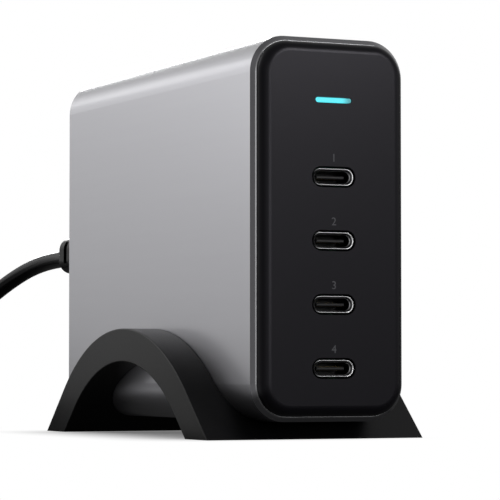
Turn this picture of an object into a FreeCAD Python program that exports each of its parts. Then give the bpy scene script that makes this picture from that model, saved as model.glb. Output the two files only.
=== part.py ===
"""A four-port desktop USB-C charger: an aluminium sleeve on a moulded arch stand, with its mains lead.

Millimetres, +Z up, the front towards -Y. The origin is on the floor under the middle of charger and stand.
"""
import FreeCAD, Part
import math
import os

Vector = FreeCAD.Vector

# Sleeve: a drawn aluminium tube of rounded rectangular section that lies along Y
sleeve_width = 36.3
sleeve_height = 82.0
sleeve_depth = 105.0
sleeve_corner = 8.0
sleeve_wall = 1.1
mouth_bevel = 0.8
mouth_bevel_depth = 1.0
mouth_facet = 0.25
mouth_facet_depth = 0.12
rear_bevel = 0.15
floor_gap = 3.8

# Stand: one moulded band bent into an arch that thickens to its feet, with a slot that the sleeve rests in
stand_width = 51.9
stand_length = 94.0
stand_rise = 24.2
stand_band = 7.5
stand_foot = 11.7
stand_leg_angle = 42.5
stand_edge_round = 0.25
stand_fit = 0.2

# End panels: a plate with a rounded rim, a shoulder in the sleeve and a spigot in the inner case
front_proud = 2.4
front_edge_round = 2.3
rear_proud = 1.0
rear_edge_round = 0.8
panel_plate = 2.0
panel_fit = 0.05
panel_reach = 8.2
spigot_length = 3.0
spigot_wall = 1.0
spigot_fit = 0.1

# Inner case: two insulating half shells inside the sleeve
case_fit = 0.15
case_wall = 1.3
rail_height = 3.5
rail_width = 1.2
rail_fit = 0.1

# Ports: four receptacles in a column, with flared mouths
port_count = 4
first_port_rise = 11.0
port_pitch = 13.56
port_recess = 0.35
port_chamfer = 0.1
port_side_fit = 0.16
port_top_fit = 0.28
shell_width = 8.94
shell_height = 3.16
shell_sheet = 0.3
shell_length = 8.6
lip_flare = 0.5
lip_rise = 0.3
lip_depth = 0.6
lip_round = 0.1
tongue_width = 6.69
tongue_thickness = 0.7
tongue_recess = 1.7
tongue_bevel = 0.2
tongue_root = 2.2
tongue_fit = 0.05

# Indicator: a lit window over the ports
window_rise = 27.4
window_width = 8.66
window_height = 1.2
window_recess = 0.1
window_fit = 0.12
window_flange = 1.0
window_flange_margin = 1.0
lamp_width = 3.2
lamp_height = 1.6
lamp_thickness = 0.8
lamp_gap = 0.3

# Circuit boards
board_thickness = 1.6
board_offset = -9.0
board_edge_gap = 1.95
end_board_thickness = 1.2
end_board_fit = 0.2
tab_height = 6.0
tab_spread = 21.0
tab_fit = 0.1
boss_diameter = 3.6
boss_inset_x = 2.4
boss_inset_z = 4.9
screw_diameter = 1.6
screw_fit = 0.1
screw_head_diameter = 2.8
screw_head_height = 1.2
screw_length = 5.0

# Parts soldered to the main board, given as depth along Y, height along Z and thickness off the board
transformer_size = (23.0, 26.0, 18.0)
boost_choke_size = (20.0, 20.0, 15.0)
core_plate = 3.0
core_leg = 3.6
core_post = 9.0
winding_fit = 0.3
filter_choke_diameter = 18.0
filter_choke_bore = 8.0
filter_choke_thickness = 8.0
wire_layer = 1.2
wire_fit = 0.05
winding_span = 120.0
filter_capacitor_size = (16.0, 17.5, 10.0)
fuse_diameter = 8.0
fuse_height = 8.0
rectifier_size = (14.0, 10.0, 3.2)
bulk_diameter = 14.0
bulk_length = 28.0
bulk_edge_round = 0.9
safety_diameter = 7.0
safety_thickness = 3.2
safety_gap = 1.5
output_diameter = 6.3
output_height = 8.5
output_gap = 0.8
port_choke_size = 6.5
port_choke_thickness = 3.4
port_choke_offset = 6.0
switch_size = (6.0, 8.0, 0.9)
switch_gap = 6.0
spreader_thickness = 1.2
spreader_size = (60.0, 50.0)
spreader_fit = 0.05

# Mains inlet: a two-pole appliance inlet and the connector that is pushed into it
inlet_drop = 0.5
inlet_width = 19.0
inlet_height = 11.0
inlet_corner = 2.9
inlet_fit = 0.1
inlet_flange = 1.4
inlet_flange_margin = 2.0
inlet_depth = 19.5
inlet_sink = 0.2
cavity_depth = 12.0
lobe_diameter = 6.8
lobe_waist = 4.4
lobe_fit = 0.3
pin_pitch = 8.6
pin_diameter = 2.36
pin_fit = 0.05
pin_setback = 2.5
pin_tail = 2.0
nose_length = 11.5
contact_wall = 0.7
contact_length = 9.0
contact_fit = 0.05
grip_gap = 0.3
grip_width = 18.0
grip_height = 9.2
grip_length = 29.3
grip_round = 3.2
grip_end_round = 0.5
groove_count = 3
groove_width = 2.1
groove_pitch = 4.4
groove_depth = 0.9
groove_end_gap = 4.5
groove_rise = 2.5
relief_length = 20.0
relief_root = 5.4
relief_tip = 4.7

# Lead: its free run to the floor, the coil that holds the rest of it, and the plug
cord_diameter = 4.4
cord_first_run = 13.1
coil_centre = (-52.6, 112.0)
coil_radius = 25.6
coil_turns_wide = 4
coil_turns_high = 2
coil_edge_round = 1.6
coil_fit = 0.05
join_angle = 112.5
tail_angle = 190.0
tail_length = 48.0
tie_angle = 20.0
tie_width = 9.0
tie_thickness = 0.8
plug_width = 24.0
plug_length = 26.0
plug_round = 4.0
plug_relief_length = 18.0
blade_pitch = 12.7
blade_width = 6.35
blade_thickness = 1.5
blade_length = 17.0
blade_tip = 1.5

# Places that follow from these sizes
front_y = -(front_proud + sleeve_depth + rear_proud) / 2
sleeve_front = front_y + front_proud
sleeve_rear = sleeve_front + sleeve_depth
rear_y = sleeve_rear + rear_proud
sleeve_middle = (sleeve_front + sleeve_rear) / 2
body_z = floor_gap + sleeve_height / 2
inlet_z = body_z - inlet_drop

bore = (sleeve_width - 2 * sleeve_wall, sleeve_height - 2 * sleeve_wall, sleeve_corner - sleeve_wall)


def inset(outline, distance):
    """The width, height and corner radius of an outline that lies inside another one."""
    width, height, corner = outline
    return (width - 2 * distance, height - 2 * distance, corner - distance)


panel_outline = inset(bore, panel_fit)
case_outline = inset(bore, case_fit)
case_inside = inset(case_outline, case_wall)
spigot_outline = inset(case_inside, spigot_fit)
pocket_outline = inset(spigot_outline, spigot_wall)
end_board_outline = inset(pocket_outline, end_board_fit)

front_plate_back = front_y + panel_plate
rear_plate_back = rear_y - panel_plate
front_shoulder = sleeve_front + panel_reach
rear_shoulder = sleeve_rear - panel_reach

port_heights = [body_z + first_port_rise - i * port_pitch for i in range(port_count)]
window_z = body_z + window_rise
shell_front = front_y + port_recess
port_board_front = shell_front + shell_length
port_board_back = port_board_front + end_board_thickness
inlet_rear = rear_y - inlet_sink
inlet_board_back = inlet_rear - inlet_depth
inlet_board_front = inlet_board_back - end_board_thickness
pin_places = (-pin_pitch / 2, pin_pitch / 2)

board_half_height = case_inside[1] / 2 - board_edge_gap
board_low_z = body_z - board_half_height
board_high_z = body_z + board_half_height
board_face = board_offset + board_thickness / 2
board_solder_face = board_offset - board_thickness / 2
tab_heights = [body_z - tab_spread, body_z + tab_spread]


def outline_wire(outline, x, y, z):
    """A rectangle with quarter-round corners in a plane of constant Y; a stadium where the corners meet."""
    width, height, corner = outline
    across = width / 2 - corner
    up = height / 2 - corner
    slant = corner * math.sqrt(0.5)
    edges = []
    ends = []
    for sx, sz, first in ((1, -1, "low"), (1, 1, "side"), (-1, 1, "low"), (-1, -1, "side")):
        centre = Vector(x + sx * across, y, z + sz * up)
        level = centre + Vector(0, 0, sz * corner)
        upright = centre + Vector(sx * corner, 0, 0)
        start, end = (level, upright) if first == "low" else (upright, level)
        ends.append((start, centre + Vector(sx * slant, 0, sz * slant), end))
    for i, (start, middle, end) in enumerate(ends):
        edges.append(Part.Arc(start, middle, end).toShape())
        following = ends[(i + 1) % 4][0]
        if end.distanceToPoint(following) > 1e-6:
            edges.append(Part.LineSegment(end, following).toShape())
    return Part.Wire(edges)


def prism(outline, y_from, y_to, x=0.0, z=body_z):
    """An outline carried along Y."""
    return Part.Face(outline_wire(outline, x, y_from, z)).extrude(Vector(0, y_to - y_from, 0))


def taper(outline_from, outline_to, y_from, y_to, x=0.0, z=body_z):
    """A solid with straight sides between two like outlines."""
    wires = [outline_wire(outline_from, x, y_from, z), outline_wire(outline_to, x, y_to, z)]
    return Part.makeLoft(wires, True, True)


def stadium(width, height):
    """The outline of a slot with round ends."""
    return (width, height, height / 2)


lip_outline = stadium(shell_width + 2 * lip_flare, shell_height + 2 * lip_rise)


def block(size_x, size_y, size_z, x, y, z):
    """A box given by its sizes and its middle."""
    corner = Vector(x - size_x / 2, y - size_y / 2, z - size_z / 2)
    return Part.makeBox(size_x, size_y, size_z, corner)


def rod(diameter, start, direction, length):
    """A round bar from a point along a direction."""
    return Part.makeCylinder(diameter / 2, length, start, direction)


def edges_at(shape, axis, value):
    """The edges that lie wholly in a plane square to X, Y or Z."""
    found = []
    for edge in shape.Edges:
        ends = (getattr(edge.BoundBox, axis + "Min"), getattr(edge.BoundBox, axis + "Max"))
        if max(abs(end - value) for end in ends) < 1e-4:
            found.append(edge)
    return found


def joined(first, *others):
    """Several overlapping solids as one."""
    return first.multiFuse(list(others)).removeSplitter()


def spread(low, high, sizes):
    """The middles of pieces set in a row between two ends with equal gaps."""
    gap = (high - low - sum(sizes)) / (len(sizes) + 1)
    middles = []
    edge = low
    for size in sizes:
        edge += gap
        middles.append(edge + size / 2)
        edge += size
    return middles


def make_sleeve():
    """The tube, with a wide bevel and a narrow facet on its front rim and a fine bevel behind."""
    full = (sleeve_width, sleeve_height, sleeve_corner)
    bevelled = inset(full, mouth_bevel)
    facet_end = sleeve_front + mouth_facet_depth
    bevel_end = sleeve_front + mouth_bevel_depth
    rear_bevel_start = sleeve_rear - rear_bevel
    outside = joined(
        taper(inset(bevelled, mouth_facet), bevelled, sleeve_front, facet_end),
        taper(bevelled, full, facet_end, bevel_end),
        prism(full, bevel_end, rear_bevel_start),
        taper(full, inset(full, rear_bevel), rear_bevel_start, sleeve_rear),
    )
    return outside.cut(prism(bore, sleeve_front, sleeve_rear))


def arch_profile(half_length, rise):
    """The foot, the leg's end and the top of one side of an arch, as distance from its middle and height."""
    angle = math.radians(stand_leg_angle)
    radius = (half_length * math.sin(angle) - rise * math.cos(angle)) / (1 - math.cos(angle))
    leg_end = (radius * math.sin(angle), rise - radius * (1 - math.cos(angle)))
    return (half_length, 0.0), leg_end, (0.0, rise)


def make_stand():
    """A band between two arches, each of straight splayed legs and a round top, slotted for the sleeve."""
    outer = arch_profile(stand_length / 2, stand_rise)
    inner = arch_profile(stand_length / 2 - stand_foot, stand_rise - stand_band)

    def at(point, side):
        return Vector(-stand_width / 2, sleeve_middle + side * point[0], point[1])

    edges = []
    for foot, leg_end, top in (outer, inner):
        edges.append(Part.LineSegment(at(foot, 1), at(leg_end, 1)))
        edges.append(Part.Arc(at(leg_end, 1), at(top, 1), at(leg_end, -1)))
        edges.append(Part.LineSegment(at(leg_end, -1), at(foot, -1)))
    for side in (1, -1):
        edges.append(Part.LineSegment(at(outer[0], side), at(inner[0], side)))
    wire = Part.Wire(Part.__sortEdges__([edge.toShape() for edge in edges]))
    band = Part.Face(wire).extrude(Vector(stand_width, 0, 0))
    rims = edges_at(band, "X", -stand_width / 2) + edges_at(band, "X", stand_width / 2)
    band = band.makeFillet(stand_edge_round, [e for e in rims if e.BoundBox.ZMax > stand_edge_round])
    slot = (sleeve_width + 2 * stand_fit, sleeve_height, sleeve_corner + stand_fit)
    return band.cut(prism(slot, sleeve_front, sleeve_rear))


def make_panel(face_y, plate_back, shoulder, inward, rim_round):
    """An end panel without its openings: rounded plate, shoulder and spigot, hollow behind the plate."""
    spigot_end = shoulder + inward * spigot_length
    plug = prism(panel_outline, face_y, shoulder)
    plug = plug.makeFillet(rim_round, edges_at(plug, "Y", face_y))
    return joined(plug, prism(spigot_outline, plate_back, spigot_end)).cut(
        prism(pocket_outline, plate_back, spigot_end)
    )


def boss_places():
    """The four corners at which the port board is screwed to the front panel."""
    across = pocket_outline[0] / 2 - boss_inset_x
    up = pocket_outline[1] / 2 - boss_inset_z
    return [(sx * across, body_z + sz * up) for sx in (-1, 1) for sz in (-1, 1)]


def make_front_panel():
    """The black front: four chamfered port slots, the indicator slot and bosses for the port board."""
    panel = make_panel(front_y, front_plate_back, front_shoulder, 1, front_edge_round)
    inward = Vector(0, 1, 0)
    for x, z in boss_places():
        start = Vector(x, front_plate_back - panel_plate / 2, z)
        panel = panel.fuse(rod(boss_diameter, start, inward, port_board_front - start.y))
        pilot = Vector(x, front_plate_back, z)
        panel = panel.cut(rod(screw_diameter + 2 * screw_fit, pilot, inward, port_board_front - pilot.y))
    lip_width, lip_height, _ = lip_outline
    opening = stadium(lip_width + 2 * port_side_fit, lip_height + 2 * port_top_fit)
    for z in port_heights:
        panel = panel.cut(prism(opening, front_y, front_plate_back, z=z))
        chamfer_end = front_y + port_chamfer
        panel = panel.cut(taper(inset(opening, -port_chamfer), opening, front_y, chamfer_end, z=z))
    window = prism(stadium(window_width, window_height), front_y, front_plate_back, z=window_z)
    return panel.cut(window).removeSplitter()


def make_rear_panel():
    """The black back, with the opening for the mains inlet."""
    panel = make_panel(rear_y, rear_plate_back, rear_shoulder, -1, rear_edge_round)
    opening = inset((inlet_width, inlet_height, inlet_corner), -inlet_fit)
    return panel.cut(prism(opening, rear_plate_back, rear_y, z=inlet_z))


def make_case_half(side):
    """One half of the insulating case; the left half has rails for the main board."""
    tube = prism(case_outline, front_shoulder, rear_shoulder)
    tube = tube.cut(prism(case_inside, front_shoulder, rear_shoulder))
    reach = sleeve_width
    depth = rear_shoulder - front_shoulder
    corner = Vector(min(side * reach, 0), front_shoulder, 0)
    half = tube.common(Part.makeBox(reach, depth, 2 * sleeve_height, corner))
    if side > 0:
        return half
    rail_front = front_shoulder + spigot_length + rail_fit
    rail_back = min(rear_shoulder - spigot_length, inlet_board_front) - rail_fit
    step = (board_thickness + rail_width) / 2 + rail_fit
    into_wall = case_wall / 2
    for up in (-1, 1):
        rail_z = body_z + up * (case_inside[1] / 2 - (rail_height - into_wall) / 2)
        for across in (-step, step):
            rail = block(
                rail_width, rail_back - rail_front, rail_height + into_wall,
                board_offset + across, (rail_front + rail_back) / 2, rail_z,
            )
            half = half.fuse(rail)
    return half.removeSplitter()


def make_main_board():
    """The power board on its rails, with tabs that are soldered into the two end boards."""
    depth = inlet_board_front - port_board_back
    middle = (inlet_board_front + port_board_back) / 2
    board = block(board_thickness, depth, 2 * board_half_height, board_offset, middle, body_z)
    for z in tab_heights:
        tab = block(board_thickness, depth + 2 * end_board_thickness, tab_height, board_offset, middle, z)
        board = board.fuse(tab)
    return board.removeSplitter()


def make_end_board(y_from, y_to):
    """A board that stands across the case, with slots for the main board's tabs."""
    board = prism(end_board_outline, y_from, y_to)
    for z in tab_heights:
        slot = block(
            board_thickness + 2 * tab_fit, y_to - y_from, tab_height + 2 * tab_fit,
            board_offset, (y_from + y_to) / 2, z,
        )
        board = board.cut(slot)
    return board


def make_port_board():
    """The board behind the front panel, drilled for its screws."""
    board = make_end_board(port_board_front, port_board_back)
    for x, z in boss_places():
        start = Vector(x, port_board_front, z)
        board = board.cut(rod(screw_diameter + 2 * screw_fit, start, Vector(0, 1, 0), end_board_thickness))
    return board


def make_inlet_board():
    """The board behind the mains inlet, drilled for its pins."""
    board = make_end_board(inlet_board_front, inlet_board_back)
    for x in pin_places:
        start = Vector(x, inlet_board_front, inlet_z)
        board = board.cut(rod(pin_diameter + 2 * pin_fit, start, Vector(0, 1, 0), end_board_thickness))
    return board


def make_port_screws():
    """Four screws that hold the port board to the front panel's bosses."""
    screws = []
    for x, z in boss_places():
        head = rod(screw_head_diameter, Vector(x, port_board_back, z), Vector(0, 1, 0), screw_head_height)
        shank = rod(screw_diameter, Vector(x, port_board_back, z), Vector(0, -1, 0), screw_length)
        screws.append(head.fuse(shank).removeSplitter())
    return Part.Compound(screws)


def make_port_shell(z):
    """A folded receptacle shell with a flared and rounded mouth just behind the panel's face."""
    straight = stadium(shell_width, shell_height)
    lip_end = shell_front + lip_depth
    sheet = inset(straight, shell_sheet)
    outside = joined(
        taper(lip_outline, straight, shell_front, lip_end, z=z),
        prism(straight, lip_end, port_board_front, z=z),
    )
    inside = joined(
        taper(inset(lip_outline, shell_sheet), sheet, shell_front, lip_end, z=z),
        prism(sheet, lip_end, port_board_front, z=z),
    )
    shell = outside.cut(inside)
    return shell.makeFillet(lip_round, edges_at(shell, "Y", shell_front))


def make_port_tongue(z):
    """The moulded insulator at the back of a receptacle and the bevelled contact tongue that it carries."""
    root_front = port_board_front - tongue_root
    inside = inset(stadium(shell_width, shell_height), shell_sheet + tongue_fit)
    root = prism(inside, root_front, port_board_front, z=z)
    tip = front_y + tongue_recess
    tongue = block(
        tongue_width, port_board_front - tip, tongue_thickness, 0.0, (port_board_front + tip) / 2, z
    )
    tongue = tongue.makeChamfer(tongue_bevel, edges_at(tongue, "Y", tip))
    return joined(root, tongue)


def make_light_pipe():
    """The clear window: a bar in the panel's slot, a flange behind the plate and a stem to the lamp."""
    bar = stadium(window_width - 2 * window_fit, window_height - 2 * window_fit)
    flange = inset(bar, -window_flange_margin)
    flange_end = front_plate_back + window_flange
    stem_end = port_board_front - lamp_thickness - lamp_gap
    stem_length = stem_end - front_plate_back
    return joined(
        prism(bar, front_y + window_recess, flange_end, z=window_z),
        prism(flange, front_plate_back, flange_end, z=window_z),
        block(lamp_width, stem_length, lamp_height, 0.0, stem_end - stem_length / 2, window_z),
    )


def make_lamp():
    """The small lamp on the port board that lights the window."""
    return block(
        lamp_width, lamp_thickness, lamp_height, 0.0, port_board_front - lamp_thickness / 2, window_z
    )


def make_core(size, y, z):
    """A ferrite core that opens to the front and back: two plates, two outer legs and a round post."""
    depth, height, thickness = size
    core = block(thickness, depth, height, board_face + thickness / 2, y, z)
    gap = block(
        thickness - 2 * core_plate, depth, height - 2 * core_leg, board_face + thickness / 2, y, z
    )
    post = rod(core_post, Vector(board_face, y, z), Vector(1, 0, 0), thickness)
    return joined(core.cut(gap), post)


def make_core_winding(size, y, z):
    """The wound bobbin round a core's post."""
    depth, height, thickness = size
    start = Vector(board_face + core_plate + winding_fit, y, z)
    length = thickness - 2 * (core_plate + winding_fit)
    outside = min(depth, height - 2 * core_leg) - 2 * winding_fit
    along = Vector(1, 0, 0)
    return rod(outside, start, along, length).cut(rod(core_post + 2 * winding_fit, start, along, length))


def ring(diameter, bore_diameter, thickness, y, z, x, span=360.0):
    """A flat ring, or a sector of one, with its axis along X."""
    start = Vector(x, y, z)
    along = Vector(1, 0, 0)
    outside = Part.makeCylinder(diameter / 2, thickness, start, along, span)
    return outside.cut(Part.makeCylinder(bore_diameter / 2, thickness, start, along))


def make_filter_choke(y, z):
    """A toroid core lying on the board and the two windings on its halves."""
    core_x = board_face + wire_layer
    core_size = (filter_choke_diameter - 2 * wire_layer, filter_choke_bore + 2 * wire_layer)
    core = ring(*core_size, filter_choke_thickness, y, z, core_x)
    room = ring(
        core_size[0] + 2 * wire_fit, core_size[1] - 2 * wire_fit,
        filter_choke_thickness + 2 * wire_fit, y, z, core_x - wire_fit,
    )
    windings = []
    for turn in (0.0, 180.0):
        sector = ring(
            filter_choke_diameter, filter_choke_bore, filter_choke_thickness + 2 * wire_layer,
            y, z, board_face, winding_span,
        )
        sector.rotate(Vector(0, y, z), Vector(1, 0, 0), turn + (180.0 - winding_span) / 2)
        windings.append(sector.cut(room))
    return core, Part.Compound(windings)


def make_bulk_capacitors(y, heights):
    """Two electrolytic cans that lie along the board, one over the other."""
    cans = []
    for z in heights:
        start = Vector(board_face + bulk_diameter / 2, y, z - bulk_length / 2)
        can = rod(bulk_diameter, start, Vector(0, 0, 1), bulk_length)
        rims = edges_at(can, "Z", start.z) + edges_at(can, "Z", start.z + bulk_length)
        cans.append(can.makeFillet(bulk_edge_round, rims))
    return Part.Compound(cans)


def make_board_parts():
    """Everything soldered to the main board, in three columns spread evenly along it."""
    off_board = Vector(1, 0, 0)
    output_y = port_board_back + output_gap + output_diameter / 2
    columns = (transformer_size[0], bulk_diameter, filter_choke_diameter)
    power_y, bulk_y, filter_y = spread(output_y + output_diameter / 2, inlet_board_front, columns)

    boost_z, safety_z, transformer_z = spread(
        board_low_z, board_high_z, (boost_choke_size[1], safety_diameter, transformer_size[1])
    )
    bulk_heights = spread(board_low_z, board_high_z, (bulk_length, bulk_length))
    filter_rows = (filter_choke_diameter, fuse_diameter, rectifier_size[1], filter_capacitor_size[1])
    choke_z, fuse_z, rectifier_z, capacitor_z = spread(board_low_z, board_high_z, filter_rows)

    filter_core, filter_windings = make_filter_choke(filter_y, choke_z)
    safety_step = (safety_diameter + safety_gap) / 2
    safety = []
    for y in (power_y - safety_step, power_y + safety_step):
        safety.append(rod(safety_diameter, Vector(board_face, y, safety_z), off_board, safety_thickness))
    outputs = []
    for z in port_heights:
        outputs.append(rod(output_diameter, Vector(board_face, output_y, z), off_board, output_height))
    switch_depth, switch_height, switch_thickness = switch_size
    switch_x = board_solder_face - switch_thickness / 2
    switches = []
    for along in (-(switch_depth + switch_gap) / 2, (switch_depth + switch_gap) / 2):
        for up in (-(switch_height + switch_gap) / 2, (switch_height + switch_gap) / 2):
            switches.append(
                block(switch_thickness, switch_depth, switch_height, switch_x, power_y + along, body_z + up)
            )
    depth, height, thickness = filter_capacitor_size
    rectifier_depth, rectifier_height, rectifier_thickness = rectifier_size
    wall = case_inside[0] / 2 - spreader_fit
    right_pad = wall - spreader_thickness - board_face - transformer_size[2]
    left_pad = wall - spreader_thickness + board_solder_face - switch_thickness
    switch_field = (2 * switch_depth + switch_gap, 2 * switch_height + switch_gap)
    spreader_y = (front_shoulder + rear_shoulder) / 2
    spreader_x = wall - spreader_thickness / 2
    return {
        "transformer_core": make_core(transformer_size, power_y, transformer_z),
        "transformer_winding": make_core_winding(transformer_size, power_y, transformer_z),
        "boost_choke_core": make_core(boost_choke_size, power_y, boost_z),
        "boost_choke_winding": make_core_winding(boost_choke_size, power_y, boost_z),
        "filter_choke_core": filter_core,
        "filter_choke_windings": filter_windings,
        "filter_capacitor": block(
            thickness, depth, height, board_face + thickness / 2, filter_y, capacitor_z
        ),
        "fuse": rod(fuse_diameter, Vector(board_face, filter_y, fuse_z), off_board, fuse_height),
        "bridge_rectifier": block(
            rectifier_thickness, rectifier_depth, rectifier_height,
            board_face + rectifier_thickness / 2, filter_y, rectifier_z,
        ),
        "bulk_capacitors": make_bulk_capacitors(bulk_y, bulk_heights),
        "safety_capacitors": Part.Compound(safety),
        "output_capacitors": Part.Compound(outputs),
        "power_switches": Part.Compound(switches),
        "thermal_pad_left": block(
            left_pad, *switch_field, board_solder_face - switch_thickness - left_pad / 2, power_y, body_z
        ),
        "thermal_pad_right": block(
            right_pad, *transformer_size[:2],
            board_face + transformer_size[2] + right_pad / 2, power_y, transformer_z,
        ),
        "heat_spreader_left": block(spreader_thickness, *spreader_size, -spreader_x, spreader_y, body_z),
        "heat_spreader_right": block(spreader_thickness, *spreader_size, spreader_x, spreader_y, body_z),
    }


def make_port_chokes():
    """Four small coils on the back of the port board, one behind each port."""
    middle = port_board_back + port_choke_thickness / 2
    return Part.Compound([
        block(port_choke_size, port_choke_thickness, port_choke_size, port_choke_offset, middle, z)
        for z in port_heights
    ])


def figure_eight(lobe, waist, y_from, y_to):
    """Two round lobes side by side, joined by a waist, carried along Y."""
    length = y_to - y_from
    lobes = [rod(lobe, Vector(x, y_from, inlet_z), Vector(0, 1, 0), length) for x in pin_places]
    web = block(pin_pitch, length, waist, 0.0, (y_from + y_to) / 2, inlet_z)
    return joined(web, *lobes)


def make_inlet_body():
    """The inlet's moulded block, with a flange behind the rear panel and a two-lobed cavity."""
    outline = (inlet_width, inlet_height, inlet_corner)
    flange = inset(outline, -inlet_flange_margin)
    flange_front = rear_plate_back - inlet_flange
    body = joined(
        prism(outline, inlet_board_back, inlet_rear, z=inlet_z),
        prism(flange, flange_front, rear_plate_back, z=inlet_z),
    )
    cavity_floor = inlet_rear - cavity_depth
    lobe = lobe_diameter + 2 * lobe_fit
    waist = lobe_waist + 2 * lobe_fit
    body = body.cut(figure_eight(lobe, waist, cavity_floor, inlet_rear))
    for x in pin_places:
        start = Vector(x, inlet_board_back, inlet_z)
        length = cavity_floor - inlet_board_back
        body = body.cut(rod(pin_diameter + 2 * pin_fit, start, Vector(0, 1, 0), length))
    return body


def make_inlet_pins():
    """Two round pins that run from the inlet's cavity through the board behind it."""
    start = inlet_board_front - pin_tail
    length = inlet_rear - pin_setback - start
    pins = [rod(pin_diameter, Vector(x, start, inlet_z), Vector(0, 1, 0), length) for x in pin_places]
    return Part.Compound(pins)


def relief(start, direction, length):
    """A tapered strain relief that starts at its wide end."""
    return Part.makeCone(relief_root / 2, relief_tip / 2, length, start, direction)


def make_connector():
    """The moulded connector: a two-lobed nose in the inlet, a grooved grip and a tapered strain relief."""
    grip_start = rear_y + grip_gap
    grip_end = grip_start + grip_length
    grip = prism((grip_width, grip_height, grip_round), grip_start, grip_end, z=inlet_z)
    grip = grip.makeFillet(grip_end_round, edges_at(grip, "Y", grip_end))
    for i in range(groove_count):
        y = grip_end - groove_end_gap - i * groove_pitch
        for side in (-1, 1):
            x = side * (grip_width / 2)
            groove = block(2 * groove_depth, groove_width, grip_height, x, y, inlet_z + groove_rise)
            grip = grip.cut(groove)
    nose = figure_eight(lobe_diameter, lobe_waist, grip_start - nose_length, grip_start)
    for x in pin_places:
        start = Vector(x, grip_start - nose_length, inlet_z)
        socket = pin_diameter + 2 * (pin_fit + contact_wall + contact_fit)
        nose = nose.cut(rod(socket, start, Vector(0, 1, 0), contact_length + contact_fit))
    tail = relief(Vector(0, grip_end, inlet_z), Vector(0, 1, 0), relief_length)
    return joined(grip, nose, tail)


def make_contacts():
    """Two brass tubes in the connector's nose that grip the inlet's pins."""
    start = rear_y + grip_gap - nose_length
    inside = pin_diameter + 2 * pin_fit
    tubes = []
    for x in pin_places:
        place = Vector(x, start, inlet_z)
        tube = rod(inside + 2 * contact_wall, place, Vector(0, 1, 0), contact_length)
        tubes.append(tube.cut(rod(inside, place, Vector(0, 1, 0), contact_length)))
    return Part.Compound(tubes)


coil_half_width = coil_turns_wide * cord_diameter / 2
coil_height = coil_turns_high * cord_diameter
outer_turn = coil_radius + coil_half_width - cord_diameter / 2
tail_z = coil_height - cord_diameter / 2


def coil_point(radius, angle, z):
    """A point over the floor at an angle round the coil."""
    turn = math.radians(angle)
    return Vector(coil_centre[0] + radius * math.cos(turn), coil_centre[1] + radius * math.sin(turn), z)


# The lead's route from the strain relief down to the coil's outer turn, as chosen points
cord_exit_y = rear_y + grip_gap + grip_length + relief_length
cord_route = [
    Vector(0.0, cord_exit_y, inlet_z),
    Vector(0.0, cord_exit_y + cord_first_run, inlet_z),
    Vector(-4.5, 130.5, 39.9),
    Vector(-12.0, 141.5, 31.0),
    Vector(-24.5, 148.8, 19.5),
    Vector(-39.0, 150.3, 9.0),
    Vector(-53.2, 147.2, 2.8),
    coil_point(outer_turn, join_angle, cord_diameter / 2),
]


def cord_path(points):
    """Straight runs joined by arcs as large as their runs allow, and the radii of those arcs."""
    edges = []
    radii = []
    place = points[0]
    for before, point, after in zip(points, points[1:], points[2:]):
        into = (point - before).normalize()
        out = (after - point).normalize()
        turn = into.getAngle(out)
        reach = 0.45 * min(before.distanceToPoint(point), point.distanceToPoint(after))
        radius = reach / math.tan(turn / 2)
        towards_centre = (out - into).normalize()
        middle = point + towards_centre * (radius / math.cos(turn / 2) - radius)
        edges.append(Part.LineSegment(place, point - into * reach).toShape())
        edges.append(Part.Arc(point - into * reach, middle, point + out * reach).toShape())
        radii.append(radius)
        place = point + out * reach
    edges.append(Part.LineSegment(place, points[-1]).toShape())
    return Part.Wire(edges), radii


def cord_tube(points, diameter):
    """A round tube along a route."""
    path, _ = cord_path(points)
    section = Part.Wire([Part.makeCircle(diameter / 2, points[0], points[1] - points[0])])
    return path.makePipeShell([section], True, False)


tail_start = coil_point(outer_turn, tail_angle, tail_z)
tail_direction = coil_point(1.0, tail_angle + 90, 0) - coil_point(0.0, 0, 0)
tail_end = tail_start + tail_direction * tail_length


def make_tie():
    """A flat strap round the coil's turns at one place."""
    middle = coil_point(coil_radius, 0, coil_height / 2)
    width = 2 * coil_half_width
    outside = block(width + 2 * tie_thickness, tie_width, coil_height + tie_thickness, *middle)
    outside.translate(Vector(0, 0, tie_thickness / 2))
    inside = block(width, tie_width, coil_height - tie_thickness, *middle)
    inside.translate(Vector(0, 0, tie_thickness / 2))
    strap = outside.cut(inside)
    strap.rotate(coil_point(0.0, 0, 0), Vector(0, 0, 1), tie_angle)
    return strap


def make_coil(tie):
    """The outer shape of the wound turns, with room for the lead's two ends and the strap."""
    size = (2 * coil_half_width, coil_height, coil_edge_round)
    section = Part.Face(outline_wire(size, coil_centre[0] + coil_radius, coil_centre[1], coil_height / 2))
    turns = section.revolve(coil_point(0.0, 0, 0), Vector(0, 0, 1), 360)
    lead_in = cord_tube(cord_route[-4:], cord_diameter + 2 * coil_fit)
    lead_out = rod(cord_diameter + 2 * coil_fit, tail_start, tail_direction, tail_length)
    return turns.cut(lead_in).cut(lead_out).cut(tie)


def facing_tail(shape):
    """A shape drawn along -Y from the origin, turned to the lead's end and set at its height."""
    turn = tail_angle + 90 - 270
    shape.rotate(Vector(0, 0, 0), Vector(0, 0, 1), turn)
    shape.translate(tail_end)
    return shape


def make_plug_body():
    """The moulded body of a two-blade plug that lies flat at the end of the lead, with its strain relief."""
    height = 2 * tail_z
    back = -plug_relief_length
    front = back - plug_length
    body = prism((plug_width, height, plug_round), front, back, z=0.0)
    body = body.makeFillet(grip_end_round, edges_at(body, "Y", back))
    tail = relief(Vector(0, back, 0), Vector(0, 1, 0), plug_relief_length)
    return facing_tail(joined(body, tail))


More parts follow.
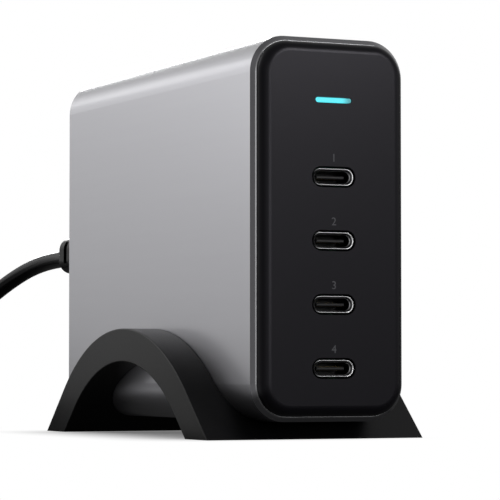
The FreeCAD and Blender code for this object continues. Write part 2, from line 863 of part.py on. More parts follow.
def make_plug_blades():
    """Two flat brass blades with bevelled tips."""
    start = -plug_relief_length - plug_length
    tip = start - blade_length
    blades = []
    for x in (-blade_pitch / 2, blade_pitch / 2):
        blade = block(blade_thickness, blade_length, blade_width, x, (start + tip) / 2, 0)
        corners = [e for e in edges_at(blade, "Y", tip) if e.BoundBox.ZLength < 1e-6]
        blades.append(facing_tail(blade.makeChamfer(blade_tip, corners)))
    return Part.Compound(blades)


tie_shape = make_tie()
nodes = {
    "stand": make_stand(),
    "sleeve": make_sleeve(),
    "front_panel": make_front_panel(),
    "rear_panel": make_rear_panel(),
    "inner_case_left": make_case_half(-1),
    "inner_case_right": make_case_half(1),
    "main_board": make_main_board(),
    "port_board": make_port_board(),
    "port_board_screws": make_port_screws(),
    "port_chokes": make_port_chokes(),
    "inlet_board": make_inlet_board(),
    "light_pipe": make_light_pipe(),
    "indicator_lamp": make_lamp(),
    "inlet_body": make_inlet_body(),
    "inlet_pins": make_inlet_pins(),
    "cord_connector": make_connector(),
    "connector_contacts": make_contacts(),
    "cord_run": cord_tube(cord_route, cord_diameter),
    "cord_coil": make_coil(tie_shape),
    "cord_tail": rod(cord_diameter, tail_start, tail_direction, tail_length),
    "cord_tie": tie_shape,
    "plug_body": make_plug_body(),
    "plug_blades": make_plug_blades(),
    **make_board_parts(),
}
for number, height in enumerate(port_heights, 1):
    nodes[f"usb_c_shell_{number}"] = make_port_shell(height)
    nodes[f"usb_c_tongue_{number}"] = make_port_tongue(height)

run_path, run_radii = cord_path(cord_route)
run_volume = math.pi * (cord_diameter / 2) ** 2 * run_path.Length
print("lead run bend radii", [round(radius, 1) for radius in run_radii])
print("lead run length", round(run_path.Length, 1))
print("lead run volume over section times length", round(nodes["cord_run"].Volume / run_volume, 4))

os.makedirs("parts", exist_ok=True)
for name, shape in nodes.items():
    shape.exportStep(f"parts/{name}.step")
    state = "valid" if shape.isValid() else "not valid"
    print(name, len(shape.Solids), "solids", round(shape.Volume, 1), "mm3", state)
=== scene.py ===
import math

import bpy
import numpy as np
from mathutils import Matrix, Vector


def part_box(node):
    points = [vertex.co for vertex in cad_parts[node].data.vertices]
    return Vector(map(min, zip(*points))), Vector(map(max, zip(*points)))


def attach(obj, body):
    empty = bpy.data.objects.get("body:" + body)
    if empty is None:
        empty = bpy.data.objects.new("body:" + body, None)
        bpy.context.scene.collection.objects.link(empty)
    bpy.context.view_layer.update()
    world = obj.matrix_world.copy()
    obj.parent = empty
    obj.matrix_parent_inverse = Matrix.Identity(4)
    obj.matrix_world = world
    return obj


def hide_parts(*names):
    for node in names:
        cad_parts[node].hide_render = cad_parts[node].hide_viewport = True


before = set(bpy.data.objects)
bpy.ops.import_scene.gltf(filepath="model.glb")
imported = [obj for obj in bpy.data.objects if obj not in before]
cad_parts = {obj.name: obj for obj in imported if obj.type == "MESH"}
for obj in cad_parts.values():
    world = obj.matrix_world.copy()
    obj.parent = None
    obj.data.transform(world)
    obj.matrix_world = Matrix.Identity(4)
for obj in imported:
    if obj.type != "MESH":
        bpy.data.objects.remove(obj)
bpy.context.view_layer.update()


# Stand: one moulded arch of black plastic that the charger rests in on edge. Its mould was spark eroded,
# so the surface has a fine even grain with hardly any gloss, and its edges are lightly rounded.
class Field:
    """A socket of a material or of the room. Arithmetic on it adds Math nodes, and node() any other node."""

    def __init__(self, socket):
        self.socket = socket

    def node(self, kind, inputs, output=0, **settings):
        """One node: its settings first, then the values or links of its inputs; gives one of its outputs."""
        tree = self.socket.id_data
        made = tree.nodes.new(kind)
        for name, value in settings.items():
            setattr(made, name, value)
        for key, value in inputs.items():
            if isinstance(value, Field):
                tree.links.new(value.socket, made.inputs[key])
            else:
                made.inputs[key].default_value = value
        return Field(made.outputs[output])

    def math(self, operation, first, second=0.0):
        return self.node("ShaderNodeMath", {0: first, 1: second}, operation=operation)

    def __add__(self, other):
        return self.math("ADD", self, other)

    def __sub__(self, other):
        return self.math("SUBTRACT", self, other)

    def __mul__(self, other):
        return self.math("MULTIPLY", self, other)

    def __radd__(self, other):
        return self.math("ADD", other, self)

    def __rsub__(self, other):
        return self.math("SUBTRACT", other, self)

    def __rmul__(self, other):
        return self.math("MULTIPLY", other, self)

    def axis(self, index):
        """One coordinate of a place: 0 for X, 1 for Y, 2 for Z."""
        return self.node("ShaderNodeSeparateXYZ", {"Vector": self}, output=index)

    def noise(self, size, detail=2.0, roughness=0.5):
        """A random field from 0 to 1 whose patches are about that many metres across."""
        inputs = {"Vector": self, "Scale": 1.0 / size, "Detail": detail, "Roughness": roughness}
        return self.node("ShaderNodeTexNoise", inputs)

    def rise(self, low, high):
        """0 below one value and 1 above another, with a smooth change between them."""
        inputs = {"Value": self, "From Min": low, "From Max": high}
        return self.node("ShaderNodeMapRange", inputs, interpolation_type="SMOOTHSTEP")

    def between(self, first, second):
        """A colour that goes from the first to the second as this value goes from 0 to 1."""
        ends = [end if isinstance(end, Field) else (*end, 1.0) for end in (first, second)]
        return self.node("ShaderNodeMix", {0: self, 6: ends[0], 7: ends[1]}, output=2, data_type="RGBA")

    def bump(self, depth):
        """The surface normal over a relief that is that many metres deep."""
        return self.node("ShaderNodeBump", {"Height": self, "Distance": depth})


def finish(name, even):
    """A new material whose even values are set on its shader's sockets. Gives the material, its shader and
    the place on the surface in Object coordinates."""
    material = bpy.data.materials.new(name)
    material.use_nodes = True
    shader = material.node_tree.nodes["Principled BSDF"]
    for key, value in even.items():
        shader.inputs[key].default_value = value
    place = material.node_tree.nodes.new("ShaderNodeTexCoord").outputs["Object"]
    return material, shader, Field(place)


def feed(shader, fields):
    """Link fields that change over the surface to the shader's sockets."""
    for key, field in fields.items():
        shader.id_data.links.new(field.socket, shader.inputs[key])


def dress(material, *nodes):
    """Give CAD nodes a material."""
    for name in nodes:
        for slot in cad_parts[name].material_slots:
            slot.material = material


def moulded(name, colour, roughness, specular, grain, relief, gloss_tint=(1.0, 1.0, 1.0)):
    """Moulded plastic: a colour that clouds a little over a fingertip's width, under a fine random grain.
    The grain's patches and its relief are in metres."""
    cloud_size = 0.012
    cloud_spread = 0.14
    roughness_spread = 0.12
    material, shader, place = finish(name, {
        "Specular IOR Level": specular,
        "Specular Tint": (*gloss_tint, 1.0),
    })
    skin = place.noise(grain, detail=3.0, roughness=0.6)
    deep = tuple((1.0 - cloud_spread) * part for part in colour)
    pale = tuple((1.0 + cloud_spread) * part for part in colour)
    feed(shader, {
        "Base Color": place.noise(cloud_size).between(deep, pale),
        "Roughness": roughness + roughness_spread * (skin - 0.5),
        "Normal": skin.bump(relief),
    })
    return material


eroded = moulded(
    "spark eroded black stand", (0.0025, 0.0025, 0.0029),
    roughness=0.4, specular=0.19, grain=0.00035, relief=0.000012,
)
dress(eroded, "stand")


# Sleeve: a drawn aluminium tube, bead blasted and anodised grey under a clear sealed layer. Its front rim is
# cut to a smooth bevel after the blasting. The bevel is painted darker as a dark reflection, and a narrow
# bright facet lies at the panel.
sleeve_low, sleeve_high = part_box("sleeve")
facet_depth = 0.00012
bevel_depth = 0.001
bead_size = 0.00022
bead_relief = 0.000002
draw_mark_width = 0.002
draw_mark_squeeze = (1.0, 0.04, 1.0)

anodised, shader, place = finish("bead blasted anodised aluminium", {"Metallic": 1.0, "Coat Roughness": 0.18})
beads = place.noise(bead_size, roughness=0.65)
along_tube = place.node("ShaderNodeMapping", {"Vector": place, "Scale": draw_mark_squeeze})
drawn = along_tube.noise(draw_mark_width, detail=3.0)
depth = place.axis(1) - sleeve_low.y
behind_facet = depth.rise(0.9 * facet_depth, 1.1 * facet_depth)
behind_bevel = depth.rise(0.98 * bevel_depth, 1.02 * bevel_depth)
blasted = (drawn * 0.5 + beads * 0.5).between((0.357, 0.354, 0.377), (0.382, 0.379, 0.403))
# The bevel's darker colour is a painted dark reflection; the facet in front of it keeps a paler grey.
rim_with_painted_dark_bevel = behind_facet.between((0.32, 0.32, 0.33), (0.218, 0.216, 0.228))
feed(shader, {
    "Base Color": behind_bevel.between(rim_with_painted_dark_bevel, blasted),
    "Roughness": 0.24 + 0.18 * behind_bevel + 0.03 * (beads - 0.5),
    "Coat Weight": 0.7 * behind_bevel,
    "Normal": (beads * behind_bevel).bump(bead_relief),
})
dress(anodised, "sleeve")


# Front panel: a black moulded plate with a soft satin face and a rounded rim, pushed into the sleeve. A plain
# numeral is printed over each port in grey ink. The rear panel has the same finish.
satin = moulded(
    "satin black panel", (0.004, 0.0038, 0.005),
    roughness=0.34, specular=0.16, grain=0.0003, relief=0.000005, gloss_tint=(0.93, 0.9, 1.0),
)
dress(satin, "front_panel", "rear_panel")

ink, shader, place = finish("grey printing ink", {"Roughness": 0.6, "Specular IOR Level": 0.2})
feed(shader, {"Base Color": place.noise(0.0002).between((0.085, 0.085, 0.095), (0.12, 0.12, 0.13))})

port_numbers = range(1, 5)
panel_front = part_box("front_panel")[0].y
numeral_height = 0.0017
numeral_rise = 0.004
digit_share_of_font_size = 0.7
ink_thickness = 0.00001
for number in port_numbers:
    shell_low, shell_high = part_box(f"usb_c_shell_{number}")
    text = bpy.data.curves.new(f"port_numeral_{number}", "FONT")
    text.body = str(number)
    text.align_x = "CENTER"
    text.align_y = "CENTER"
    text.size = numeral_height / digit_share_of_font_size
    text.resolution_u = 6
    lettering = bpy.data.objects.new(f"port_numeral_{number}_text", text)
    bpy.context.collection.objects.link(lettering)
    bpy.context.view_layer.update()
    mesh = bpy.data.meshes.new_from_object(lettering)
    bpy.data.objects.remove(lettering)

    # The flat numeral is stood up: its width stays X, its height becomes Z, and it lies on the panel's face.
    flat = np.empty(len(mesh.vertices) * 3)
    mesh.vertices.foreach_get("co", flat)
    across, up, _ = flat.reshape(-1, 3).T
    middle = (shell_low.z + shell_high.z) / 2 + numeral_rise
    places = np.stack([across, np.full_like(across, panel_front - ink_thickness), up + middle], axis=1)
    mesh.vertices.foreach_set("co", places.ravel())
    mesh.materials.append(ink)
    numeral = bpy.data.objects.new(f"port_numeral_{number}", mesh)
    bpy.context.collection.objects.link(numeral)
    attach(numeral, "root")


# Ports: four folded steel receptacle shells with a grey cut lip. The lip's left end is painted dark as shade,
# and its right corners are painted bright as a glint. Behind the lip the inside is painted dark as shade,
# with a painted highlight band at the bend. Each holds a moulded tongue with gilded contacts.
shell_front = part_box("usb_c_shell_1")[0].y
lip_end = (0.00008, 0.00014)
bend_start = (0.0004, 0.0006)
bend_end = (0.0008, 0.0011)
painted_shade_end = (-0.0046, -0.0034)
painted_glint_start = (0.0030, 0.0038)

steel, shader, place = finish("plated shell steel with painted light", {"Metallic": 1.0})
depth = place.axis(1) - shell_front
behind_lip = depth.rise(*lip_end)
# Painted light: a dark inside as shade with a highlight band at the bend, and on the lip a shaded left end
# and a glint at the right.
painted_bend_highlight = depth.rise(*bend_start) * (1.0 - depth.rise(*bend_end))
painted_lip_shade = 1.0 - place.axis(0).rise(*painted_shade_end)
painted_lip_glint = place.axis(0).rise(*painted_glint_start)
scuff = place.noise(0.0006, detail=4.0)
inner_painted_shade_and_highlight = painted_bend_highlight.between((0.06, 0.06, 0.065), (0.95, 0.95, 0.96))
lip_with_painted_glint = painted_lip_glint.between((0.24, 0.24, 0.246), (0.8, 0.8, 0.81))
lip = painted_lip_shade.between(lip_with_painted_glint, (0.004, 0.004, 0.004))
feed(shader, {
    "Base Color": behind_lip.between(lip, inner_painted_shade_and_highlight),
    "Roughness": 0.2 + 0.25 * scuff,
})
dress(steel, *(f"usb_c_shell_{number}" for number in port_numbers))

tongue = moulded(
    "black contact tongue", (0.012, 0.012, 0.013),
    roughness=0.5, specular=0.3, grain=0.0002, relief=0.000004,
)
dress(tongue, *(f"usb_c_tongue_{number}" for number in port_numbers))

gilt, shader, place = finish("gilded contact", {"Metallic": 1.0})
feed(shader, {
    "Base Color": place.noise(0.0004).between((0.5, 0.36, 0.14), (0.6, 0.45, 0.2)),
    "Roughness": 0.25 + 0.15 * place.noise(0.0001),
})

# The contacts are flat bars in a row on both faces of the tongue. Each is the eight corners of a unit box
# times the bar's size, moved to the bar's middle.
contact_pitch = 0.0005
contact_size = np.array([0.00026, 0.0032, 0.00003])
contacts_across = 12
tongue_half_thickness = 0.00035
contact_setback = 0.0006
unit_corners = np.array([(x, y, z) for x in (-0.5, 0.5) for y in (-0.5, 0.5) for z in (-0.5, 0.5)])
unit_sides = np.array([(0, 1, 3, 2), (4, 6, 7, 5), (0, 4, 5, 1), (2, 3, 7, 6), (0, 2, 6, 4), (1, 5, 7, 3)])
for number in port_numbers:
    tongue_low, tongue_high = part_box(f"usb_c_tongue_{number}")
    across = (np.arange(contacts_across) - (contacts_across - 1) / 2) * contact_pitch
    along = tongue_low.y + contact_setback + contact_size[1] / 2
    level = (tongue_low.z + tongue_high.z) / 2 + np.array([-1, 1]) * tongue_half_thickness
    grid_x, grid_z = np.meshgrid(across, level)
    middles = np.stack([grid_x.ravel(), np.full(grid_x.size, along), grid_z.ravel()], axis=1)
    vertices = (middles[:, None, :] + unit_corners[None, :, :] * contact_size).reshape(-1, 3)
    first_corners = np.arange(len(middles))[:, None, None] * len(unit_corners)
    faces = (first_corners + unit_sides[None, :, :]).reshape(-1, 4)
    mesh = bpy.data.meshes.new(f"port_contacts_{number}")
    mesh.from_pydata(vertices.tolist(), [], faces.tolist())
    mesh.materials.append(gilt)
    contacts = bpy.data.objects.new(f"port_contacts_{number}", mesh)
    bpy.context.collection.objects.link(contacts)
    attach(contacts, "root")


# Indicator: a clear bar in the panel's slot, lit through its stem by a lamp on the port board. It glows
# evenly over most of its length and fades towards its right end.
fade_start, fade_end = 0.0018, 0.0040
lit, shader, place = finish("lit cyan window", {"Roughness": 0.25, "Emission Strength": 1.0})
glow = 1.0 - place.axis(0).rise(fade_start, fade_end)
feed(shader, {
    "Base Color": place.noise(0.0006).between((0.01, 0.07, 0.08), (0.012, 0.09, 0.1)),
    "Emission Color": glow.between((0.035, 0.3, 0.34), (0.07, 0.79, 0.89)),
})
dress(lit, "light_pipe")

housing = moulded(
    "lamp housing", (0.7, 0.7, 0.62),
    roughness=0.35, specular=0.4, grain=0.0003, relief=0.000003,
)
dress(housing, "indicator_lamp")


# Inlet: a two-pole mains inlet of black moulded plastic behind the rear panel's opening. Its pins are nickel
# plated brass, and so are the connector's contacts and the plug's blades.
socket = moulded(
    "black inlet", (0.014, 0.014, 0.015),
    roughness=0.5, specular=0.3, grain=0.0003, relief=0.00001,
)
dress(socket, "inlet_body")

brass, shader, place = finish("nickel plated brass", {"Metallic": 1.0})
worn = place.noise(0.0009, detail=4.0)
feed(shader, {
    "Base Color": worn.between((0.55, 0.53, 0.46), (0.68, 0.65, 0.57)),
    "Roughness": 0.22 + 0.2 * worn,
})
dress(brass, "inlet_pins", "connector_contacts", "plug_blades")


# Inner case and boards: two dark insulating half shells hold the boards, which are green with a fine field of
# copper areas under the solder mask. Plated screws fix the port board.
insulating = moulded(
    "dark insulating case", (0.03, 0.03, 0.033),
    roughness=0.55, specular=0.3, grain=0.0004, relief=0.00001,
)
dress(insulating, "inner_case_left", "inner_case_right")

copper_areas_per_metre = 420.0
copper_thickness = 0.00003
board, shader, place = finish("green solder mask", {"Specular IOR Level": 0.5})
cells = {"Vector": place, "Scale": copper_areas_per_metre}
copper = place.node("ShaderNodeTexVoronoi", cells, distance="CHEBYCHEV").rise(0.28, 0.34)
feed(shader, {
    "Base Color": copper.between((0.012, 0.075, 0.03), (0.02, 0.13, 0.055)),
    "Roughness": 0.3 + 0.1 * place.noise(0.003),
    "Normal": copper.bump(copper_thickness),
})
dress(board, "main_board", "port_board", "inlet_board")

plated, shader, place = finish("plated screw steel", {"Metallic": 1.0})
feed(shader, {
    "Base Color": place.noise(0.0005).between((0.45, 0.45, 0.46), (0.58, 0.58, 0.6)),
    "Roughness": 0.3 + 0.2 * place.noise(0.0003),
})
dress(plated, "port_board_screws")


# Wound parts: dark sintered ferrite cores, a transformer winding under yellow tape, and chokes wound with
# enamelled copper wire that lies turn beside turn.
ferrite, shader, place = finish("sintered ferrite", {"Specular IOR Level": 0.4})
grit = place.noise(0.0004, detail=5.0, roughness=0.7)
feed(shader, {
    "Base Color": grit.between((0.018, 0.018, 0.02), (0.05, 0.05, 0.053)),
    "Roughness": 0.5 + 0.2 * grit,
    "Normal": grit.bump(0.00004),
})
dress(ferrite, "transformer_core", "boost_choke_core", "filter_choke_core", "port_chokes")

taped, shader, place = finish("yellow winding tape", {"Specular IOR Level": 0.5})
lap = place.node("ShaderNodeTexWave", {"Vector": place, "Scale": 90.0, "Distortion": 0.3}, output=1)
feed(shader, {
    "Base Color": place.noise(0.002).between((0.62, 0.42, 0.02), (0.72, 0.52, 0.04)),
    "Roughness": 0.25 + 0.15 * lap,
    "Normal": lap.bump(0.00005),
})
dress(taped, "transformer_winding")

enamelled, shader, place = finish("enamelled copper wire", {"Metallic": 0.8})
wire = place.node("ShaderNodeTexWave", {"Vector": place, "Scale": 320.0, "Distortion": 0.4}, output=1)
feed(shader, {
    "Base Color": wire.between((0.22, 0.06, 0.02), (0.5, 0.19, 0.07)),
    "Roughness": 0.35 - 0.1 * wire,
    "Normal": wire.bump(0.0002),
})
dress(enamelled, "boost_choke_winding", "filter_choke_windings")


# Other parts on the boards: a moulded film capacitor, black moulded packages, capacitors in dark shrink
# sleeve or bare cans, blue dipped discs, soft thermal pads and rolled aluminium heat spreaders.
film_box = moulded(
    "film capacitor box", (0.45, 0.38, 0.03),
    roughness=0.4, specular=0.4, grain=0.0004, relief=0.00001,
)
dress(film_box, "filter_capacitor")

package = moulded(
    "black package", (0.015, 0.015, 0.016),
    roughness=0.6, specular=0.3, grain=0.0003, relief=0.00001,
)
dress(package, "fuse", "bridge_rectifier", "power_switches")

shrink = moulded(
    "dark shrink sleeve", (0.012, 0.014, 0.035),
    roughness=0.3, specular=0.5, grain=0.0008, relief=0.00001,
)
dress(shrink, "bulk_capacitors")

dipped = moulded(
    "blue dipped disc", (0.01, 0.05, 0.22),
    roughness=0.35, specular=0.5, grain=0.0008, relief=0.00003,
)
dress(dipped, "safety_capacitors")

pad = moulded(
    "soft thermal pad", (0.2, 0.24, 0.29),
    roughness=0.8, specular=0.2, grain=0.0005, relief=0.00004,
)
dress(pad, "thermal_pad_left", "thermal_pad_right")

rolling_squeeze = (1.0, 0.03, 1.0)
rolled, shader, place = finish("rolled aluminium", {"Metallic": 1.0})
along_roll = place.node("ShaderNodeMapping", {"Vector": place, "Scale": rolling_squeeze})
grain = along_roll.noise(0.0004, detail=3.0)
feed(shader, {
    "Base Color": grain.between((0.55, 0.55, 0.56), (0.66, 0.66, 0.67)),
    "Roughness": 0.3 + 0.15 * grain,
    "Normal": grain.bump(0.00001),
})
dress(rolled, "heat_spreader_left", "heat_spreader_right", "output_capacitors")


# Mains lead: black cable with a satin jacket, moulded on to its connector and its dull plug. Its spare length
# is wound in two layers of turns on the table behind the charger and held by a strap.
jacket, shader, place = finish("satin black jacket", {"Specular IOR Level": 0.38, "IOR": 1.2})
skin = place.noise(0.0008, detail=3.0)
feed(shader, {
    "Base Color": place.noise(0.01).between((0.007, 0.007, 0.0075), (0.01, 0.01, 0.0105)),
    "Roughness": 0.2 + 0.08 * skin,
    "Normal": skin.bump(0.000002),
})
dress(jacket, "cord_connector")

plug = moulded(
    "black moulded plug", (0.009, 0.009, 0.0095),
    roughness=0.55, specular=0.25, grain=0.0004, relief=0.000008,
)
dress(plug, "plug_body")

millimetre = 0.001
cord_diameter = 0.0044
route = millimetre * np.array([
    (0.0, 103.8, 44.3),
    (0.0, 116.9, 44.3),
    (-4.5, 130.5, 39.9),
    (-12.0, 141.5, 31.0),
    (-24.5, 148.8, 19.5),
    (-39.0, 150.3, 9.0),
    (-53.2, 147.2, 2.8),
    (-64.92, 141.75, 2.2),
])
coil_centre = np.array([-0.0526, 0.112])
turns_inwards = 3
climb_end = turns_inwards + 1 / 3
end_turns = 6 + 77.5 / 360
coil_outer_turn = 0.0322
coil_inner_turn = coil_outer_turn - turns_inwards * cord_diameter
steps_per_turn = 16
start_angle = math.radians(112.5)

# Each step of the coil is a point on its circle, pushed out a little because a smooth spline cuts corners:
# three turns inwards on the table, a climb over a third of a turn, then outwards on top of them.
turns = np.append(np.arange(1, math.ceil(end_turns * steps_per_turn)) / steps_per_turn, end_turns)
stages = [0, turns_inwards, climb_end, end_turns]
radius = np.interp(turns, stages, [coil_outer_turn, coil_inner_turn, coil_inner_turn, coil_outer_turn])
radius = radius / (0.75 + 0.25 * math.cos(2 * math.pi / steps_per_turn))
angle = start_angle + 2 * math.pi * turns
height = np.interp(turns, stages, np.array([0.5, 0.5, 1.5, 1.5]) * cord_diameter)
coil = np.stack([
    coil_centre[0] + radius * np.cos(angle),
    coil_centre[1] + radius * np.sin(angle),
    height,
], axis=1)

# The tail leaves the outer turn along its tangent and runs straight into the plug.
tail_length = 0.048
tail_shares = np.array([[0.3], [0.65], [1.0]])
tail_angle = angle[-1] + math.pi / 2
coil_end = coil_outer_turn * np.array([math.cos(angle[-1]), math.sin(angle[-1]), 0])
tail_start = np.append(coil_centre, height[-1]) + coil_end
tail_way = np.array([math.cos(tail_angle), math.sin(tail_angle), 0])
tail = tail_start + tail_way * tail_length * tail_shares

points = np.concatenate([route, coil, tail])
line = bpy.data.curves.new("mains_cord", "CURVE")
line.dimensions = "3D"
spline = line.splines.new("NURBS")
spline.points.add(len(points) - 1)
spline.points.foreach_set("co", np.column_stack([points, np.ones(len(points))]).ravel())
spline.order_u = 3
spline.use_endpoint_u = True
spline.resolution_u = 8
line.bevel_depth = cord_diameter / 2
line.bevel_resolution = 5
line.use_fill_caps = True
line.materials.append(jacket)
cord = bpy.data.objects.new("mains_cord", line)
bpy.context.collection.objects.link(cord)
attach(cord, "root")
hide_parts("cord_run", "cord_coil", "cord_tail")


# Strap: a woven hook and loop band that holds the wound turns together. It is closed round them in the shape
# of a rounded rectangle and lies flat on the table.
def band_round(centre, outward, half_width, low, high, corner, width, thickness):
    """A closed band. Its path is a rounded rectangle: at each angle, the centre of that corner's quarter
    circle plus its radius times the normal. Its section is a superellipse close to a flat bar, carried
    along the path with its thickness along the path's normal."""
    path_steps = 96
    section_steps = 24
    width_power = 0.35
    thickness_power = 0.6
    sweep = np.linspace(0, 2 * np.pi, path_steps, endpoint=False) + np.pi / path_steps
    normal = np.stack([np.cos(sweep), np.sin(sweep)], axis=1)
    corner_centre = np.sign(normal) * np.array([half_width - corner, (high - low) / 2 - corner])
    path = corner_centre + corner * normal
    section = np.linspace(0, 2 * np.pi, section_steps, endpoint=False)
    wide = np.sign(np.cos(section)) * np.abs(np.cos(section)) ** width_power * width / 2
    thick = np.sign(np.sin(section)) * np.abs(np.sin(section)) ** thickness_power * thickness / 2
    radial = path[:, None, 0] + normal[:, None, 0] * thick
    rise = path[:, None, 1] + normal[:, None, 1] * thick
    along = np.array([-outward[1], outward[0]])
    x = centre[0] + radial * outward[0] + wide * along[0]
    y = centre[1] + radial * outward[1] + wide * along[1]
    return np.stack([x, y, (low + high) / 2 + rise], axis=2)


def closed_mesh(name, grid):
    """A mesh from a grid of points that closes on itself in both directions: each point makes a four-sided
    face with the next one along, the next one across and the one beyond both."""
    rows, columns = grid.shape[:2]
    row, column = np.meshgrid(np.arange(rows), np.arange(columns), indexing="ij")
    after, beside = (row + 1) % rows, (column + 1) % columns
    faces = np.stack([
        row * columns + column,
        after * columns + column,
        after * columns + beside,
        row * columns + beside,
    ], axis=2)
    mesh = bpy.data.meshes.new(name)
    mesh.from_pydata(grid.reshape(-1, 3).tolist(), [], faces.reshape(-1, 4).tolist())
    mesh.polygons.foreach_set("use_smooth", np.ones(rows * columns, dtype=bool))
    return mesh


woven, shader, place = finish("woven strap", {"Specular IOR Level": 0.2, "Sheen Weight": 0.3})
threads_per_metre = 2200.0
weave = place.node("ShaderNodeTexVoronoi", {"Vector": place, "Scale": threads_per_metre})
feed(shader, {
    "Base Color": weave.rise(0.1, 0.6).between((0.03, 0.03, 0.032), (0.012, 0.012, 0.013)),
    "Roughness": 0.75 + 0.15 * place.noise(0.001),
    "Normal": weave.bump(0.00012),
})

strap_angle = math.radians(20)
strap_outward = np.array([math.cos(strap_angle), math.sin(strap_angle)])
strap_thickness = 0.0008
strap_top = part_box("cord_tie")[1].z
strap_mesh = closed_mesh("cord_strap", band_round(
    centre=coil_centre + strap_outward * (coil_outer_turn + coil_inner_turn) / 2,
    outward=strap_outward,
    half_width=2 * cord_diameter + strap_thickness / 2,
    low=strap_thickness / 2,
    high=strap_top - strap_thickness / 2,
    corner=0.0022,
    width=0.009,
    thickness=strap_thickness,
))
strap_mesh.materials.append(woven)
strap = bpy.data.objects.new("cord_strap", strap_mesh)
bpy.context.collection.objects.link(strap)
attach(strap, "root")
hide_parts("cord_tie")


# Table: a wide pale top in front of a white backdrop. It is white to the camera but for the soft shadow at
# the charger, and to mirrored rays it is pale at the charger's left and dim elsewhere.
def ray_kinds(field):
    """Three fields that are 1 for rays from the camera, from a mirroring surface and through glass."""
    kinds = ("Is Camera Ray", "Is Glossy Ray", "Is Transmission Ray")
    return [field.node("ShaderNodeLightPath", {}, output=kind) for kind in kinds]


table_half = 6.0
table_corners = np.array([(-1, -1), (1, -1), (1, 1), (-1, 1)]) * table_half
floor_mesh = bpy.data.meshes.new("floor")
floor_mesh.from_pydata(np.column_stack([table_corners, np.zeros(4)]).tolist(), [], [(0, 1, 2, 3)])
floor = bpy.data.objects.new("floor", floor_mesh)
bpy.context.collection.objects.link(floor)

shadow_left = 0.008
shadow_half_width = sleeve_high.x
shadow_half_length = 0.038
shadow_fade = (-0.011, 0.022)
shadow_strength = 0.85
pale_start = (0.028, 0.052)
pale_front = (-0.06, -0.042)
pale_front_loss = 0.5
pale_turn = 0.05
pale_lean = 0.4
distant_start = (0.08, 0.45)
dim_level = 0.02
pale_level = 0.75
distant_level = 0.06

# The shadow fades out over the edge of a rectangle under the sleeve, a little to its left. The pale side
# starts just left of the stand, further out the further behind the charger, and is half as strong in front.
table, shader, place = finish("pale table top", {"Roughness": 0.9, "Specular IOR Level": 0.0})
to_camera, to_mirror, to_glass = ray_kinds(place)
across = place.math("ABSOLUTE", place.axis(0) + shadow_left) - shadow_half_width
along = place.math("ABSOLUTE", place.axis(1)) - shadow_half_length
shadow = (1.0 - across.rise(*shadow_fade)) * (1.0 - along.rise(*shadow_fade))
open_table = 1.0 - shadow_strength * shadow
beyond = place.math("MAXIMUM", place.axis(1) - pale_turn, 0.0)
at_front = 1.0 - place.axis(1).rise(*pale_front)
leftwards = 0.0 - place.axis(0) - pale_lean * beyond
at_left = leftwards.rise(*pale_start) * (1.0 - pale_front_loss * at_front)
distant = place.math("MAXIMUM", across, along).rise(*distant_start)
mirrored = dim_level + pale_level * at_left + distant_level * distant * (1.0 - at_left)
white = place.math("MAXIMUM", to_camera * open_table, place.math("MAXIMUM", to_mirror, to_glass) * mirrored)
feed(shader, {"Base Color": to_camera.between((0.12, 0.12, 0.12), (0.8, 0.8, 0.8))})
tree = table.node_tree
glowing = tree.nodes.new("ShaderNodeEmission")
whitened = tree.nodes.new("ShaderNodeMixShader")
tree.links.new(white.socket, whitened.inputs[0])
tree.links.new(shader.outputs[0], whitened.inputs[1])
tree.links.new(glowing.outputs[0], whitened.inputs[2])
tree.links.new(whitened.outputs[0], tree.nodes["Material Output"].inputs["Surface"])
floor_mesh.materials.append(table)


# Room: white to the camera and through glass. To mirrored rays it is bright low down in front of the charger
# and behind it, dimmer at the left and overhead, and dark at the right behind. Other rays meet a dim white.
world = bpy.data.worlds.new("studio")
bpy.context.scene.world = world
world.use_nodes = True
tree = world.node_tree
background = tree.nodes["Background"]
background.inputs["Color"].default_value = (1.0, 1.0, 1.0, 1.0)

wall_top = (0.1, 0.25)
left_edge = (0.48, 0.85)
right_edge = (0.5, 0.85)
back_edge = (-0.2, 0.2)
horizon = (-0.01, 0.07)
zenith = (0.6, 0.9)
even_level = 0.19
left_level = 0.33
right_level, right_loss_behind = 0.9, 0.87
back_level = 0.72
front_foot_level, front_gain = 0.7, 0.95
above_level, above_gain_behind = 0.4, 0.22
zenith_loss = 0.3
way = Field(tree.nodes.new("ShaderNodeTexCoord").outputs["Generated"])
to_camera, to_mirror, to_glass = ray_kinds(way)
low = 1.0 - way.axis(2).rise(*wall_top)
left = (0.0 - way.axis(0)).rise(*left_edge)
right = way.axis(0).rise(*right_edge)
behind = way.axis(1).rise(*back_edge)
front_level = front_foot_level + front_gain * way.axis(2).rise(*horizon)
middle_level = front_level + behind * (back_level - front_level)
side_levels = left_level * left + (right_level - right_loss_behind * behind) * right
walls = side_levels + (1.0 - left - right) * middle_level
above = (above_level + above_gain_behind * behind) * (1.0 - zenith_loss * way.axis(2).rise(*zenith))
seen = above + low * (walls - above)
white = way.math("MAXIMUM", to_camera, to_glass)
strength = white + (1.0 - white) * (to_mirror * seen + (1.0 - to_mirror) * even_level)
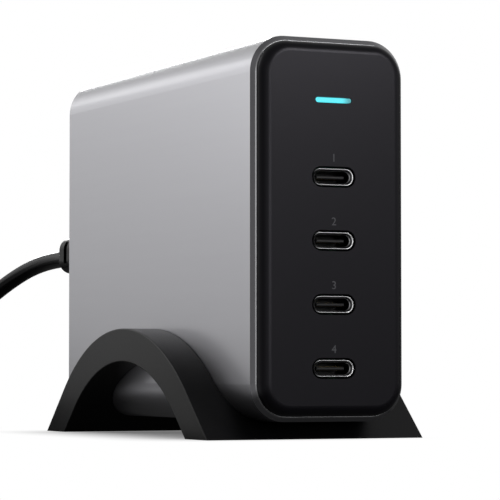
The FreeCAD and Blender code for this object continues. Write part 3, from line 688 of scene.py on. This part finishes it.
tree.links.new(strength.socket, background.inputs["Strength"])


# Lights: soft boxes at the left behind the charger, which brighten the sleeve towards its top, one at the
# right behind it that catches the upper edges, and small ones in front for the panel and its rim.
def soft_box(name, place, towards, size, watts):
    """A square area light at a place, facing a point."""
    light = bpy.data.lights.new(name, "AREA")
    light.size = size
    light.energy = watts
    lamp = bpy.data.objects.new(name, light)
    way = np.array(towards) - np.array(place)
    lamp.location = place
    tilt = math.atan2(math.hypot(way[0], way[1]), -way[2])
    lamp.rotation_euler = (tilt, 0.0, math.atan2(way[1], way[0]) - math.pi / 2)
    bpy.context.collection.objects.link(lamp)


body = (0.0, 0.0, 0.05)
panel_top = (0.0, -0.05, 0.06)
panel_middle = (0.0, -0.05, 0.05)
soft_box("edge_soft_box", (-0.22, 0.65, 0.31), body, size=0.12, watts=0.054)
soft_box("low_soft_box", (-0.45, 0.5, 0.25), body, size=0.3, watts=0.43)
soft_box("wide_soft_box", (-0.3, 0.6, 0.38), body, size=0.5, watts=0.25)
soft_box("high_soft_box", (-0.45, 0.45, 0.45), body, size=0.25, watts=0.353)
soft_box("back_soft_box", (0.3, 0.8, 0.2), body, size=0.35, watts=2.6)
soft_box("rim_soft_box", (0.10, -0.25, 0.165), panel_top, size=0.06, watts=0.117)
soft_box("panel_soft_box", (0.14, -0.36, 0.19), panel_top, size=0.1, watts=0.209)
soft_box("front_soft_box", (0.04, -0.6, 0.10), panel_middle, size=0.12, watts=0.4)


# Camera: a long lens low over the table at the front left, which shows the front and the left side. It
# looks up slightly, so that the whole charger is in the picture.
upward = math.radians(2.634)
turned_right = math.radians(25.447)
camera = bpy.data.cameras.new("camera")
camera.sensor_width = 36.0
camera.lens = 185.18
camera.clip_start = 0.01
viewer = bpy.data.objects.new("camera", camera)
viewer.location = (-0.25051, -0.53916, 0.01516)
viewer.rotation_euler = (math.pi / 2 + upward, 0.0, -turned_right)
bpy.context.collection.objects.link(viewer)
bpy.context.scene.camera = viewer
bpy.context.scene.view_settings.view_transform = "Standard"
